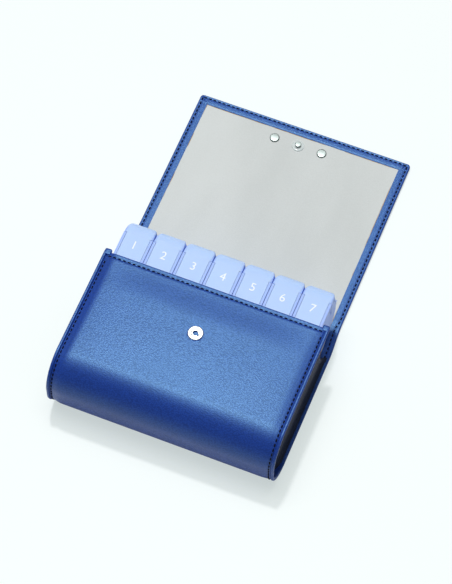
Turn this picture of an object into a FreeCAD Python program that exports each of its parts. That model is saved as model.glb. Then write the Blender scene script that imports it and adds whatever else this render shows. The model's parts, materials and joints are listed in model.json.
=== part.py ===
import FreeCAD, Part
import math
import os

# Weekly pill organizer: a soft wallet that lies on its back with its flap open, and seven day
# boxes with sliding lids in its pocket. Millimetres, +Z up, +Y from the round bottom of the pocket
# towards the flap, +X to the right of somebody who looks along +Y. The y values below start at the
# bottom of the pocket. place() moves the finished solids so that the origin lies under their middle.

Vec = FreeCAD.Vector

# Day boxes
day_count = 7
compartment_count = 4
tray_width = 19.6            # over the rails at the top
tray_draft = 1.2             # how much each long side leans in towards the foot
tray_length = 108.5
tray_pitch_gap = 0.35        # between neighbouring boxes
tray_wall = 1.4              # long walls at the foot, and the floor
tray_end_wall = 1.2          # behind the hood
divider = 1.2
tray_near_round = 6.0        # corners at the closed end, seen from the side
tray_far_round = 22.0        # lower corner at the far end, seen from the side
tray_foot_round = 3.0        # long lower edges
tray_plan_round = 2.0        # upright corners at the closed end
pocket_floor_round = 2.6     # compartment floor, along the box
pocket_scoop_round = 4.5     # compartment floor, at its ends

# Sliding lids
rail_width = 1.6             # top of the tray's rail, beside the lid
rail_lip = 0.9               # rail above the lid's tongue
tongue = 1.0                 # thickness of the lid's edge in its groove
groove_depth = 0.8
lid_play = 0.12              # up and down in the groove
lid_side_play = 0.15         # beside the tongue and the raised plate
lid_seat = 1.2               # closed end of the groove to the first compartment
hood_length = 11.0           # finger grip over the open end of the tray
hood_depth = 14.0
hood_wall = 1.2
hood_play = 0.25
hood_round = 2.0             # upright corners of the grip
hood_edge_round = 9.5        # nose of the grip, seen from the side
grip_groove_count = 5
grip_groove_width = 0.9
grip_groove_depth = 0.4
grip_groove_pitch = 1.6
grip_groove_top = 1.8        # plain band above the grip grooves
grip_groove_foot = 2.4       # plain band below them

# Wallet walls
skin = 0.8                   # outer leatherette
stiffener = 1.0              # card between the skin and the lining
lining = 0.5
turned_edge = 0.7            # skived leatherette, turned over the edges of the flap
turned_edge_width = 6.5
flap_board = 0.5             # thinner card in the flap
case_height = 49.0           # table to the front panel
bottom_flat = 7.0            # straight height between the two rounds of the pocket's bottom
mouth_y = 94.3               # top edge of the front panel
hem_depth = 9.0              # leatherette turned into the mouth
hem_round = 1.0
pocket_play = 0.3            # boxes under the front panel
side_play = 0.35             # boxes beside the side walls
slide_play = 0.35            # boxes over the turned edges of the flap
gusset = 0.8                 # side walls
flange = 4.45                # edges of the panels beyond the side walls
gusset_scoop = 9.0           # depth of the scoop in the side wall's top edge
gusset_back_rise = 4.0       # side wall above the mouth, at the back
edge_start_gap = 3.0         # from the side wall to the turned edge of the back panel
flap_inset = 1.25            # flap narrower than the front panel, at each side
flap_corner_round = 3.0
box_to_fold = 0.8            # far end of the boxes to the first fold
axis_clear = 0.15            # fold axis above the turned edges
fold_lip = 0.4               # outer face to the bead
fold_play = 0.15             # between a bead and the edge that it turns in

# Press stud and rivets
snap_drop = 34.0             # socket below the mouth
stud_edge = 14.0             # stud to the free edge of the flap
socket_radius = 4.95
socket_hole = 2.15
socket_height = 1.8
socket_round = 0.85
socket_hole_chamfer = 0.2
spring_groove_top = 0.3      # socket's top lip
spring_groove_height = 0.6
spring_groove_depth = 0.6
spring_wire = 0.4            # height and width of the flat wire
spring_reach = 0.25          # how far the wire stands into the hole
spring_turn = 320.0          # degrees of the split ring
prong_count = 5
prong_circle = 3.5
prong_width = 1.0
prong_thickness = 0.4
prong_depth = 0.8            # into the socket
prong_play = 0.08
prong_plate = 0.4
prong_plate_width = 1.9
snap_play = 0.2              # socket to washer with the flap closed
washer_radius = 4.1
washer_height = 0.8
washer_chamfer = 0.3
stud_neck = 1.65
stud_head = 2.02
stud_height = 1.7
stud_head_height = 0.55
stud_head_chamfer = 0.25
shank_radius = 0.9
shank_play = 0.06
shank_grip = 0.9             # shank inside the stud or the rivet head
cap_radius = 5.0
cap_proud = 0.6              # caps below the flap
cap_chamfer = 0.4
floor_play = 0.05            # caps above the table
rivet_spread = 16.5
rivet_radius = 3.2
rivet_height = 1.2
rivet_chamfer = 0.5

cut_past = 1.0               # how far a cutting block runs past what it cuts
same_place = 1e-6            # points closer than this are one

# Levels and places that follow from these
wall = skin + stiffener + lining
bottom_radius = (case_height - bottom_flat) / 2
flap_z = cap_proud + floor_play
board_z = flap_z + skin
lining_z = board_z + flap_board
edge_top = lining_z + turned_edge
lining_top = lining_z + lining
tray_z = edge_top + slide_play
tray_pitch = tray_width + tray_pitch_gap
boxes_width = day_count * tray_width + (day_count - 1) * tray_pitch_gap
gusset_x = boxes_width / 2 + side_play
case_half = gusset_x + gusset + flange
flap_half = case_half - flap_inset
tray_near = bottom_radius - tray_near_round
tray_far = tray_near + tray_length
hood_y = tray_far - hood_length
tray_top = case_height - wall - pocket_play
hood_z = tray_top - hood_depth
lid_seat_z = tray_top - rail_lip - tongue - 2 * lid_play
lid_near = tray_near + tray_near_round
nose_y = tray_far - hood_edge_round
nose_z = tray_top - hood_edge_round
core_round = hood_edge_round - hood_wall - hood_play
room_far = nose_y + math.sqrt(core_round ** 2 - (lid_seat_z - nose_z) ** 2) - tray_end_wall
half_top = tray_width / 2
half_foot = half_top - tray_draft
axis_z = edge_top + axis_clear
bead = axis_z - flap_z - fold_lip
fold_1 = tray_far + box_to_fold
snap_stack = socket_height + snap_play + washer_height
spine_length = case_height + snap_stack + lining_top - 2 * axis_z
fold_2 = fold_1 + spine_length
socket_y = mouth_y - snap_drop
stud_y = fold_2 + fold_1 - socket_y
flap_end = stud_y + stud_edge
middle_y = flap_end / 2
edge_start = mouth_y + gusset_back_rise + edge_start_gap

PLANES = {
    "xy": (lambda u, v, w: Vec(u, v, w), Vec(0, 0, 1)),
    "xz": (lambda u, v, w: Vec(u, w, v), Vec(0, 1, 0)),
    "yz": (lambda u, v, w: Vec(w, u, v), Vec(1, 0, 0)),
}


def outline(plane, level, corners):
    """Closed wire through corners (u, v) or (u, v, radius), with arcs at the rounded ones."""
    to_space = PLANES[plane][0]
    count = len(corners)
    edges = []
    arcs = []
    for i, corner in enumerate(corners):
        here = Vec(corner[0], corner[1], 0)
        before = Vec(corners[i - 1][0], corners[i - 1][1], 0)
        after = Vec(corners[(i + 1) % count][0], corners[(i + 1) % count][1], 0)
        radius = corner[2] if len(corner) > 2 else 0.0
        if radius == 0.0:
            arcs.append((here, None, here))
            continue
        to_before = (before - here).normalize()
        to_after = (after - here).normalize()
        half_angle = to_before.getAngle(to_after) / 2
        reach = radius / math.tan(half_angle)
        bisector = (to_before + to_after).normalize()
        crown = here + bisector * (radius / math.sin(half_angle) - radius)
        arcs.append((here + to_before * reach, crown, here + to_after * reach))
    for i, (start, crown, end) in enumerate(arcs):
        next_start = arcs[(i + 1) % count][0]
        points = [to_space(p.x, p.y, level) if p else None for p in (start, crown, end, next_start)]
        if crown:
            edges.append(Part.Arc(points[0], points[1], points[2]).toShape())
        if (points[2] - points[3]).Length > same_place:
            edges.append(Part.LineSegment(points[2], points[3]).toShape())
    return Part.Wire(edges)


def prism(plane, start, end, corners):
    """Outline in a plane, carried along that plane's normal from start to end."""
    return Part.Face(outline(plane, start, corners)).extrude(PLANES[plane][1] * (end - start))


def slab(x0, x1, y0, y1, z0, z1):
    """Box between two corners."""
    return Part.makeBox(x1 - x0, y1 - y0, z1 - z0, Vec(x0, y0, z0))


def turned(x, y, corners, degrees=360.0):
    """Outline in (radius, z) turned about the upright axis at x, y."""
    face = Part.Face(outline("xz", 0.0, corners))
    solid = face.revolve(Vec(0, 0, 0), Vec(0, 0, 1), degrees)
    solid.translate(Vec(x, y, 0))
    return solid


def rod(x, y, radius, z0, z1):
    """Upright cylinder."""
    return Part.makeCylinder(radius, z1 - z0, Vec(x, y, z0))


def joined(shapes):
    """One solid from pieces that touch or cross."""
    return shapes[0].multiFuse(shapes[1:]).removeSplitter()


def mirrored(shape):
    """The same piece on the other side of the middle plane."""
    return shape.mirror(Vec(0, 0, 0), Vec(1, 0, 0))


def moved_x(shape, x):
    """Copy of a shape, moved along X."""
    copy = shape.copy()
    copy.translate(Vec(x, 0, 0))
    return copy


def box_envelope():
    """Outside of a closed day box: leaning long sides, round ends, square rails."""
    section = prism("xz", tray_near, tray_far, [
        (-half_top, tray_top),
        (-half_foot, tray_z, tray_foot_round),
        (half_foot, tray_z, tray_foot_round),
        (half_top, tray_top),
    ])
    side = prism("yz", -half_top, half_top, [
        (tray_near, tray_top, tray_near_round),
        (tray_near, tray_z, tray_near_round),
        (tray_far, tray_z, tray_far_round),
        (tray_far, tray_top, hood_edge_round),
    ])
    plan = prism("xy", tray_z, tray_top, [
        (-half_top, tray_near, tray_plan_round),
        (half_top, tray_near, tray_plan_round),
        (half_top, tray_far, hood_round),
        (-half_top, tray_far, hood_round),
    ])
    return section.common(side).common(plan)


def hood_inside(inset, y0, z0, z1):
    """Room under the grip, inset from its outside."""
    plan = prism("xy", z0, z1, [
        (-half_top + inset, y0),
        (half_top - inset, y0),
        (half_top - inset, tray_far - inset, hood_round - inset),
        (-half_top + inset, tray_far - inset, hood_round - inset),
    ])
    side = prism("yz", -half_top, half_top, [
        (y0, z0),
        (tray_far - inset, z0),
        (tray_far - inset, tray_top - inset, hood_edge_round - inset),
        (y0, tray_top - inset),
    ])
    return plan.common(side)


def compartments():
    """Rooms of one tray, with scooped floors, from the closed end to the grip."""
    first = lid_near + lid_seat
    length = (room_far - first - (compartment_count - 1) * divider) / compartment_count
    half_in_top = half_top - hood_wall - hood_play - tray_end_wall
    half_in_foot = min(half_foot - tray_wall, half_in_top)
    floor = tray_z + tray_wall
    inside = prism("yz", -half_in_top, half_in_top, [
        (first, tray_top),
        (first, floor),
        (tray_far - tray_wall, floor, tray_far_round - tray_wall),
        (tray_far - tray_wall, tray_top),
    ])
    rooms = []
    for i in range(compartment_count):
        y0 = first + i * (length + divider)
        y1 = y0 + length
        section = prism("xz", y0, y1, [
            (-half_in_top, tray_top),
            (-half_in_foot, floor, pocket_floor_round),
            (half_in_foot, floor, pocket_floor_round),
            (half_in_top, tray_top),
        ])
        side = prism("yz", -half_in_top, half_in_top, [
            (y0, tray_top),
            (y0, floor, pocket_scoop_round),
            (y1, floor, pocket_scoop_round),
            (y1, tray_top),
        ])
        rooms.append(section.common(side).common(inside))
    return rooms


def day_tray():
    """Tray with four rooms, grooves for the lid, and a stepped end that goes under the grip."""
    past = tray_far + cut_past
    above = tray_top + cut_past
    grip_zone = slab(-tray_width, tray_width, hood_y - hood_play, past, hood_z - hood_play, above)
    core = hood_inside(hood_wall + hood_play, hood_y - 2 * hood_play, hood_z - 2 * hood_play, tray_top)
    half_open = half_top - rail_width
    groove = slab(-half_open - groove_depth, half_open + groove_depth, lid_near, past,
                  lid_seat_z, lid_seat_z + tongue + 2 * lid_play)
    opening = slab(-half_open, half_open, lid_near, past, lid_seat_z, above)
    above_core = slab(-tray_width, tray_width, hood_y - hood_play, past, lid_seat_z, above)
    body = box_envelope().cut(grip_zone)
    body = joined([body, core])
    return body.cut([groove, opening, above_core] + compartments()).removeSplitter()


def nose_top(y):
    """Height of the grip's top at a place along the box."""
    return nose_z + math.sqrt(hood_edge_round ** 2 - max(y - nose_y, 0.0) ** 2)


def day_lid():
    """Lid: a raised plate on a thin tongue, and a hollow ribbed grip at its far end."""
    half_raised = half_top - rail_width - lid_side_play
    half_tongue = half_raised + groove_depth
    tongue_z = lid_seat_z + lid_play
    near = lid_near + lid_side_play
    plate = prism("xz", near, hood_y + hood_wall, [
        (-half_tongue, tongue_z),
        (half_tongue, tongue_z),
        (half_tongue, tongue_z + tongue),
        (half_raised, tongue_z + tongue),
        (half_raised, tray_top),
        (-half_raised, tray_top),
        (-half_raised, tongue_z + tongue),
        (-half_tongue, tongue_z + tongue),
    ])
    hood = box_envelope().common(slab(-tray_width, tray_width, hood_y, tray_far, hood_z, tray_top))
    hood = hood.cut(hood_inside(hood_wall, hood_y - cut_past, hood_z - cut_past, tongue_z))
    grooves = []
    first = hood_y + (hood_length - hood_round - (grip_groove_count - 1) * grip_groove_pitch) / 2
    first = max(first, hood_y + grip_groove_width)
    for i in range(grip_groove_count):
        y = first + i * grip_groove_pitch
        groove_top = nose_top(y + grip_groove_width / 2) - grip_groove_top
        lean = tray_draft / (tray_top - tray_z)
        for side in (-1, 1):
            floor_top = half_top - lean * (tray_top - groove_top) - grip_groove_depth
            floor_foot = half_top - lean * (hood_depth - grip_groove_foot) - grip_groove_depth
            grooves.append(prism("xz", y - grip_groove_width / 2, y + grip_groove_width / 2, [
                (side * floor_top, groove_top),
                (side * floor_foot, hood_z + grip_groove_foot),
                (side * half_top, hood_z + grip_groove_foot),
                (side * half_top, groove_top),
            ]))
    return joined([plate, hood]).cut(grooves)


def wrap(offset, thickness, front_end, back_end, x0, x1):
    """Layer of the wallet's wall that runs from the front panel round the bottom to the back."""
    inner = offset + thickness
    return prism("yz", x0, x1, [
        (front_end, case_height - offset),
        (offset, case_height - offset, bottom_radius - offset),
        (offset, offset, bottom_radius - offset),
        (back_end, offset),
        (back_end, inner),
        (inner, inner, bottom_radius - inner),
        (inner, case_height - inner, bottom_radius - inner),
        (front_end, case_height - inner),
    ])


def fold_room(y):
    """Room that a bead needs in the edge before it."""
    half = case_half + cut_past
    return Part.makeCylinder(bead + fold_play, 2 * half, Vec(-half, y, axis_z), Vec(1, 0, 0))


def fold_bead(y):
    """Quarter-round bead about a fold axis, in front of the panel that turns there."""
    whole = Part.makeCylinder(bead, 2 * flap_half, Vec(-flap_half, y, axis_z), Vec(1, 0, 0))
    return whole.common(slab(-case_half, case_half, y - bead, y, axis_z - bead, edge_top))


def back_edges():
    """Leatherette turned over the two long edges of the back panel, above the side walls."""
    inner = flap_half - turned_edge_width
    strips = []
    for side in (-1, 1):
        over = sorted((side * inner, side * case_half))
        fill = sorted((side * gusset_x, side * case_half))
        strips.append(slab(over[0], over[1], edge_start, fold_1, skin + stiffener, wall))
        strips.append(slab(fill[0], fill[1], edge_start, fold_1, skin, skin + stiffener))
    return strips


def prongs(play, z0, z1):
    """Flat teeth on a circle round the socket's axis, or with play the slits that they go through."""
    teeth = []
    for i in range(prong_count):
        tooth = slab(prong_circle - prong_thickness / 2 - play, prong_circle + prong_thickness / 2 + play,
                     socket_y - prong_width / 2 - play, socket_y + prong_width / 2 + play, z0, z1)
        tooth.rotate(Vec(0, socket_y, 0), Vec(0, 0, 1), 360.0 * i / prong_count)
        teeth.append(tooth)
    return teeth


def case_skin():
    """Outer leatherette: front panel with its turned hem, round bottom, back panel."""
    shell = prism("yz", -case_half, case_half, [
        (mouth_y, case_height, hem_round),
        (0.0, case_height, bottom_radius),
        (0.0, 0.0, bottom_radius),
        (fold_1, 0.0),
        (fold_1, skin),
        (skin, skin, bottom_radius - skin),
        (skin, case_height - skin, bottom_radius - skin),
        (mouth_y - skin, case_height - skin),
        (mouth_y - skin, case_height - wall + lining),
        (mouth_y - hem_depth, case_height - wall + lining),
        (mouth_y - hem_depth, case_height - wall),
        (mouth_y, case_height - wall, hem_round),
    ])
    shell = joined([shell] + back_edges())
    return shell.cut(prongs(prong_play, case_height - skin, case_height) + [fold_room(fold_1)])


def prong_plate_ring(play):
    """Flat ring that carries the prongs, under the lining."""
    inner = prong_circle - prong_plate_width / 2 - play
    outer = prong_circle + prong_plate_width / 2 + play
    z0 = case_height - wall + lining
    z1 = z0 + prong_plate + play
    return turned(0.0, socket_y, [(inner, z0), (outer, z0), (outer, z1), (inner, z1)])


def case_stiffener():
    """Card in the wall of the wallet."""
    sheet = wrap(skin, stiffener, mouth_y - skin, fold_1, -gusset_x, gusset_x)
    slits = prongs(prong_play, case_height - wall, case_height)
    return sheet.cut(slits + [prong_plate_ring(prong_play), fold_room(fold_1)])


def case_lining():
    """Grey lining of the pocket and of the back panel above it."""
    sheet = wrap(skin + stiffener, lining, mouth_y - hem_depth, fold_1, -gusset_x, gusset_x)
    return sheet.cut(back_edges() + [fold_room(fold_1)])


def gusset_right():
    """Side wall with a scooped top edge, and a seam allowance that turns out along the panels."""
    front_top = mouth_y - hem_depth
    back_top = mouth_y + gusset_back_rise
    panel = prism("yz", gusset_x, gusset_x + gusset, [
        (front_top, case_height - wall),
        (front_top, case_height - skin),
        (skin, case_height - skin, bottom_radius - skin),
        (skin, skin, bottom_radius - skin),
        (back_top, skin),
        (back_top, wall),
    ])
    lip = wrap(skin, stiffener + lining, front_top, back_top, gusset_x, case_half)
    scoop_half = case_height / 2 - wall
    scoop_radius = (scoop_half ** 2 + gusset_scoop ** 2) / (2 * gusset_scoop)
    middle = (front_top + back_top) / 2 + scoop_radius - gusset_scoop
    scoop = Part.makeCylinder(scoop_radius, gusset, Vec(gusset_x, middle, case_height / 2), Vec(1, 0, 0))
    inside = slab(gusset_x, gusset_x + gusset, 0.0, flap_end, wall, case_height - wall)
    return joined([panel.cut(scoop.common(inside)), lip])


def panel_skin(y0, y1, corner, far_edge):
    """Leatherette of a flap panel with its turned edges, and the bead of the fold before it."""
    inner = flap_half - turned_edge_width
    base = prism("xy", flap_z, edge_top, [
        (-flap_half, y0),
        (flap_half, y0),
        (flap_half, y1) + corner,
        (-flap_half, y1) + corner,
    ])
    end = y1 - turned_edge_width if far_edge else y1
    card_end = y1 - skin if far_edge else y1
    window = slab(-inner, inner, y0, end, lining_z, edge_top)
    card = slab(-flap_half + skin, flap_half - skin, y0, card_end, board_z, lining_z)
    return joined([base.cut([window, card]), fold_bead(y0)])


def panel_board(y0, y1, far_edge):
    """Card of a flap panel."""
    card_end = y1 - skin if far_edge else y1
    return slab(-flap_half + skin, flap_half - skin, y0, card_end, board_z, lining_z)


def panel_lining(y0, y1, far_edge):
    """Lining of a flap panel, between the turned edges."""
    inner = flap_half - turned_edge_width
    end = y1 - turned_edge_width if far_edge else y1
    return slab(-inner, inner, y0, end, lining_z, lining_top)


def shank_holes():
    """Holes in the flap for the stud's and the rivets' shanks."""
    places = (-rivet_spread, 0.0, rivet_spread)
    return [rod(x, stud_y, shank_radius + shank_play, 0.0, edge_top) for x in places]


def snap_socket():
    """Ring socket on the front panel, with a groove for its spring and blind holes for the prongs."""
    base = case_height
    top = base + socket_height
    groove_top = top - spring_groove_top
    groove_foot = groove_top - spring_groove_height
    groove = socket_hole + spring_groove_depth
    ring = turned(0.0, socket_y, [
        (socket_hole, base),
        (socket_radius, base),
        (socket_radius, top, socket_round),
        (socket_hole + socket_hole_chamfer, top),
        (socket_hole, top - socket_hole_chamfer),
        (socket_hole, groove_top),
        (groove, groove_top),
        (groove, groove_foot),
        (socket_hole, groove_foot),
    ])
    return ring.cut(prongs(prong_play, base, base + prong_depth + prong_play))


def snap_spring():
    """Split ring of flat wire that holds the stud."""
    z0 = case_height + socket_height - spring_groove_top - (spring_groove_height + spring_wire) / 2
    z1 = z0 + spring_wire
    inner = socket_hole - spring_reach
    outer = inner + spring_wire
    return turned(0.0, socket_y, [(inner, z0), (outer, z0), (outer, z1), (inner, z1)], spring_turn)


def snap_prongs():
    """Ring with prongs, behind the front panel."""
    foot = case_height - wall + lining
    return joined([prong_plate_ring(0.0)] + prongs(0.0, foot, case_height + prong_depth))


def stud_washer():
    """Clear washer under the stud."""
    top = lining_top + washer_height
    hole = shank_radius + shank_play
    return turned(0.0, stud_y, [
        (hole, lining_top),
        (washer_radius, lining_top),
        (washer_radius, top - washer_chamfer),
        (washer_radius - washer_chamfer, top),
        (hole, top),
    ])


def stud_post():
    """Stud with a narrow neck and a round head, on the cap's shank."""
    foot = lining_top + washer_height
    top = foot + stud_height
    under_head = top - stud_head_height
    post = turned(0.0, stud_y, [
        (0.0, foot),
        (stud_neck, foot),
        (stud_neck, under_head),
        (stud_head, under_head + (stud_head - stud_neck)),
        (stud_head, top - stud_head_chamfer),
        (stud_head - stud_head_chamfer, top),
        (0.0, top),
    ])
    return post.cut(rod(0.0, stud_y, shank_radius + shank_play, foot, foot + shank_grip + shank_play))


def flap_cap(x, radius, shank_top):
    """Low cap outside the flap, with a shank that goes through it."""
    disc = turned(x, stud_y, [
        (0.0, flap_z),
        (radius, flap_z),
        (radius, flap_z - cap_proud + cap_chamfer),
        (radius - cap_chamfer, flap_z - cap_proud),
        (0.0, flap_z - cap_proud),
    ])
    return joined([disc, rod(x, stud_y, shank_radius, flap_z - cap_proud / 2, shank_top)])


def rivet_head(x):
    """Rivet head on the lining."""
    top = lining_top + rivet_height
    head = turned(x, stud_y, [
        (0.0, lining_top),
        (rivet_radius, lining_top),
        (rivet_radius, top - rivet_chamfer),
        (rivet_radius - rivet_chamfer, top),
        (0.0, top),
    ])
    hole_top = lining_top + shank_grip + shank_play
    return head.cut(rod(x, stud_y, shank_radius + shank_play, lining_top, hole_top))


def place(shape):
    """Shape with the origin under the middle of the open wallet."""
    moved = shape.copy()
    moved.translate(Vec(0, -middle_y, 0))
    return moved


def build():
    """All nodes by name."""
    holes = shank_holes()
    corner = (flap_corner_round,)
    nodes = {
        "case_skin": case_skin(),
        "case_stiffener": case_stiffener(),
        "case_lining": case_lining(),
        "side_gusset_right": gusset_right(),
        "side_gusset_left": mirrored(gusset_right()),
        "spine_skin": panel_skin(fold_1, fold_2, (), False).cut(fold_room(fold_2)),
        "spine_board": panel_board(fold_1, fold_2, False).cut(fold_room(fold_2)),
        "spine_lining": panel_lining(fold_1, fold_2, False).cut(fold_room(fold_2)),
        "flap_skin": panel_skin(fold_2, flap_end, corner, True).cut(holes),
        "flap_board": panel_board(fold_2, flap_end, True).cut(holes),
        "flap_lining": panel_lining(fold_2, flap_end, True).cut(holes),
        "snap_socket": snap_socket(),
        "snap_spring": snap_spring(),
        "snap_prongs": snap_prongs(),
        "stud_washer": stud_washer(),
        "stud_post": stud_post(),
        "stud_cap": flap_cap(0.0, cap_radius, lining_top + washer_height + shank_grip),
        "rivet_heads": Part.makeCompound([rivet_head(-rivet_spread), rivet_head(rivet_spread)]),
        "rivet_posts": Part.makeCompound([
            flap_cap(x, rivet_radius, lining_top + shank_grip) for x in (-rivet_spread, rivet_spread)
        ]),
    }
    tray = day_tray()
    lid = day_lid()
    for day in range(day_count):
        x = (day - (day_count - 1) / 2) * tray_pitch
        nodes["day_tray_%d" % (day + 1)] = moved_x(tray, x)
        nodes["day_lid_%d" % (day + 1)] = moved_x(lid, x)
    return nodes


os.makedirs("parts", exist_ok=True)
for name, shape in build().items():
    place(shape).exportStep("parts/%s.step" % name)
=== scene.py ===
import json
import math

import bmesh
import bpy
import numpy as np
from bpy.props import FloatProperty, FloatVectorProperty, IntProperty, PointerProperty
from mathutils import Matrix, Vector


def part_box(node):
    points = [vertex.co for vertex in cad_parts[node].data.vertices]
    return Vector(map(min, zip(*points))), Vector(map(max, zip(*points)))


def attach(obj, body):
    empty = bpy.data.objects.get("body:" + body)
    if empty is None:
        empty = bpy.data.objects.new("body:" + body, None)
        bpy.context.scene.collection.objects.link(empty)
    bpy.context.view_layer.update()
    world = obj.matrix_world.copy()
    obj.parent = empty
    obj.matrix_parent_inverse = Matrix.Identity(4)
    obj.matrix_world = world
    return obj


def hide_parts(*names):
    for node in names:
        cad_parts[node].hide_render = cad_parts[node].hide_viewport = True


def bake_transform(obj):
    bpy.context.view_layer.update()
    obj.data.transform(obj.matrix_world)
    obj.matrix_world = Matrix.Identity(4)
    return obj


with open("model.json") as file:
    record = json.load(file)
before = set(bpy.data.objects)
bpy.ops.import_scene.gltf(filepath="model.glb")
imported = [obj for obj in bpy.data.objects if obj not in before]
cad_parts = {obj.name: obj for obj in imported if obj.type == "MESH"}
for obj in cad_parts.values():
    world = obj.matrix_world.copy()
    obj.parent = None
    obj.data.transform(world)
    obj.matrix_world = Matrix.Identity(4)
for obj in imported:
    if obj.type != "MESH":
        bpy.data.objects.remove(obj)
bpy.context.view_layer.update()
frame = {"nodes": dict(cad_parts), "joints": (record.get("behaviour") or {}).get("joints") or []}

bl_info = {
    "name": "Weekly pill wallet",
    "version": (1, 0, 0),
    "blender": (4, 5, 0),
    "location": "View3D > Sidebar > Pill wallet",
    "description": "Leatherette, thread, lining, day boxes and press stud of a weekly pill organizer",
    "category": "Object",
}

DAYS = range(1, 8)
SIDES = {"left": -1.0, "right": 1.0}
MM = 0.001
EDGE_REACH = 1.0 * MM
LAST_GAP = 0.02 * MM


def corners(node):
    """Lowest and highest corner of a node of the frame, as arrays."""
    low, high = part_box(node)
    return np.array(low), np.array(high)


def hinge(name):
    """Place of a hinge of the frame."""
    return np.array(next(joint["pos_m"] for joint in frame["joints"] if joint["name"] == name))


CASE_LOW, CASE_HIGH = corners("case_skin")
GUSSET_LOW, GUSSET_HIGH = corners("side_gusset_right")
FLAP_LOW, FLAP_HIGH = corners("flap_skin")
LINING_HIGH = corners("flap_lining")[1]
SOCKET_LOW, SOCKET_HIGH = corners("snap_socket")
FOLD_1 = hinge("spine_fold")
FOLD_2 = hinge("flap_fold")
CASE_HALF = CASE_HIGH[0]
FLAP_HALF = FLAP_HIGH[0]
WINDOW_HALF = LINING_HIGH[0]
BORDER_WIDTH = FLAP_HALF - WINDOW_HALF
HEIGHT = CASE_HIGH[2]
BOTTOM_Y = CASE_LOW[1]
FLAP_END = FLAP_HIGH[1]
FLAP_LIFT = FLAP_LOW[2]


def length(name, description, default):
    """A size in metres."""
    return FloatProperty(name=name, description=description, default=default, unit="LENGTH", precision=5)


def colour(name, description, default):
    """A colour, scene linear."""
    return FloatVectorProperty(name=name, description=description, default=default, subtype="COLOR",
                               size=3, min=0.0, max=1.0)


class WalletSizes(bpy.types.PropertyGroup):
    """Sizes of the soft wallet."""

    mouth_back: length("Mouth to side wall", "Mouth edge below the back top of the side wall", 4.0 * MM)
    bottom_radius: length("Bottom radius", "Round bottom of the pocket", 21.0 * MM)
    case_wall: length("Case wall", "Leatherette and card of the case, without the lining", 1.8 * MM)
    flap_wall: length("Flap wall", "Leatherette and card of the flap, without the lining", 1.3 * MM)
    lining: length("Lining", "Thickness of the lining", 0.5 * MM)
    turned_edge: length("Turned edge", "Leatherette turned over the flap's edges", 0.75 * MM)
    hem: length("Hem", "Leatherette turned into the mouth", 9.0 * MM)
    rim_drop: length("Rim drop", "Panel at the side seam below its full height", 0.9 * MM)
    rim_slope: length("Rim slope", "From the side seam to the full height of the panel", 5.5 * MM)
    rim_seam: length("Rim seam", "Side seam of the case, from the edge", 3.3 * MM)
    piping: length("Piping", "Width of the round rim outside the side seam", 1.9 * MM)
    piping_groove: length("Piping groove", "Depth of the groove between the rim and the seam", 0.55 * MM)
    flap_seam: length("Flap seam", "Seam of the flap, from the edge", 2.0 * MM)
    hem_seam: length("Mouth seam", "Seam of the mouth, from the edge", 3.0 * MM)
    seam_dip: length("Seam dip", "How far a seam pulls the panel in", 0.5 * MM)
    seam_width: length("Seam width", "Half width of the dip along a seam", 0.8 * MM)
    pillow: length("Pillow", "How far the front panel swells", 1.0 * MM)
    mouth_fall: length("Fall to the mouth", "Part of the front panel that falls towards the mouth", 22.0 * MM)
    corner: length("Flap corner", "Rounding of the flap's free corners", 2.5 * MM)
    fold_reach: length("Fold reach", "Leatherette that bends on each side of a fold", 4.0 * MM)
    stitch_pitch: length("Stitch pitch", "From stitch to stitch", 3.2 * MM)
    stitch_length: length("Stitch length", "Length of one stitch", 2.2 * MM)
    stitch_radius: length("Thread radius", "Half the thickness of the thread", 0.48 * MM)
    gusset_bow: length("Side wall bow", "How far the side walls bow out", 1.4 * MM)
    gusset_scoop: length("Side wall scoop", "Depth of the scoop in the side walls", 9.0 * MM)
    pleat: length("Pleat", "Depth of the pleats along the side walls", 0.3 * MM)
    tab: length("Tab", "Half width of the tab at each end of the mouth", 2.3 * MM)


class BoxSizes(bpy.types.PropertyGroup):
    """Sizes of the lids of the day boxes."""

    grip: length("Grip", "Length of the finger grip at the far end of a lid", 11.0 * MM)
    nose: length("Nose", "Round of the grip, seen from the side", 9.5 * MM)
    wall: length("Wall", "Thickness of the grip", 1.2 * MM)
    edge: length("Edge", "Rounding of the grip's edges", 1.0 * MM)
    scoop: length("Scoop", "How far the grip's sides are scooped in at the nose", 3.5 * MM)
    rib_pitch: length("Rib pitch", "From rib to rib on the grip's sides", 1.5 * MM)
    rib_depth: length("Rib depth", "Depth between the ribs", 0.5 * MM)
    rail: length("Rail", "Tray's rail and its gap, beside the raised plate of the lid", 1.75 * MM)
    tongue: length("Tongue", "Thickness of the lid's edge in its groove", 1.0 * MM)
    groove: length("Groove", "How far the lid's edge goes into its groove", 0.8 * MM)


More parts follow.
